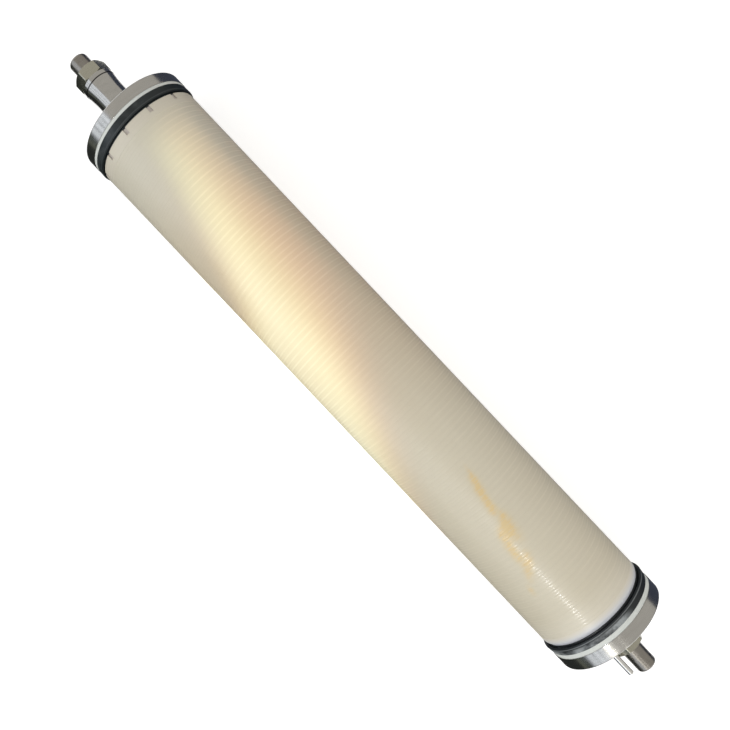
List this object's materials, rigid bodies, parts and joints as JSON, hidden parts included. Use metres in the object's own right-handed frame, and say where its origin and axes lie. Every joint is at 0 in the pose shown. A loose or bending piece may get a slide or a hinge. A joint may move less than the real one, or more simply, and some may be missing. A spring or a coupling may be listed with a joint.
{
  "type": "disc tube reverse osmosis membrane element",
  "caption": "Round disc stack membrane element on a tie rod, with a turned end flange, backup ring and lip seal at each end, a slotted inlet disc and a locating pin.",
  "frame": {"origin": "on the tie rod's axis, half way along the rod", "axes": "+X along the rod from the hub end to the pin end, +Z towards the side with the locating pin, as it lies"},
  "size_m": [1.404, 0.205, 0.205],
  "materials": {
    "rod_steel": "drawn and turned stainless steel",
    "nut_steel": "milled stainless steel",
    "turned_steel": "fine turned stainless steel",
    "polished_steel": "polished stainless steel",
    "disc_plastic": "cream moulded plastic with a brown stain",
    "outlet_plastic": "white moulded plastic",
    "backup_plastic": "pale matte plastic",
    "seal_rubber": "black rubber with a grey sheen",
    "membrane_fleece": "white membrane on fleece"
  },
  "bodies": {
    "root": {"tie_rod": "rod_steel", "hub_end_nut": "nut_steel", "hub_end_washer": "turned_steel", "hub_end_flange": "turned_steel", "hub_end_rod_ring": "seal_rubber", "hub_end_backup_ring": "backup_plastic", "hub_end_lip_seal": "seal_rubber", "hub_end_gasket": "seal_rubber", "inlet_disc": "disc_plastic", "first_membrane_cushion": "membrane_fleece", "guide_disc_stack": "disc_plastic", "last_membrane_cushion": "membrane_fleece", "outlet_disc": "outlet_plastic", "pin_end_gasket": "seal_rubber", "pin_end_lip_seal": "seal_rubber", "pin_end_backup_ring": "backup_plastic", "pin_end_flange": "turned_steel", "pin_end_rod_ring": "seal_rubber", "pin_end_washer": "turned_steel", "pin_end_nut": "nut_steel", "locating_pin": "polished_steel"}
  },
  "joints": []
}
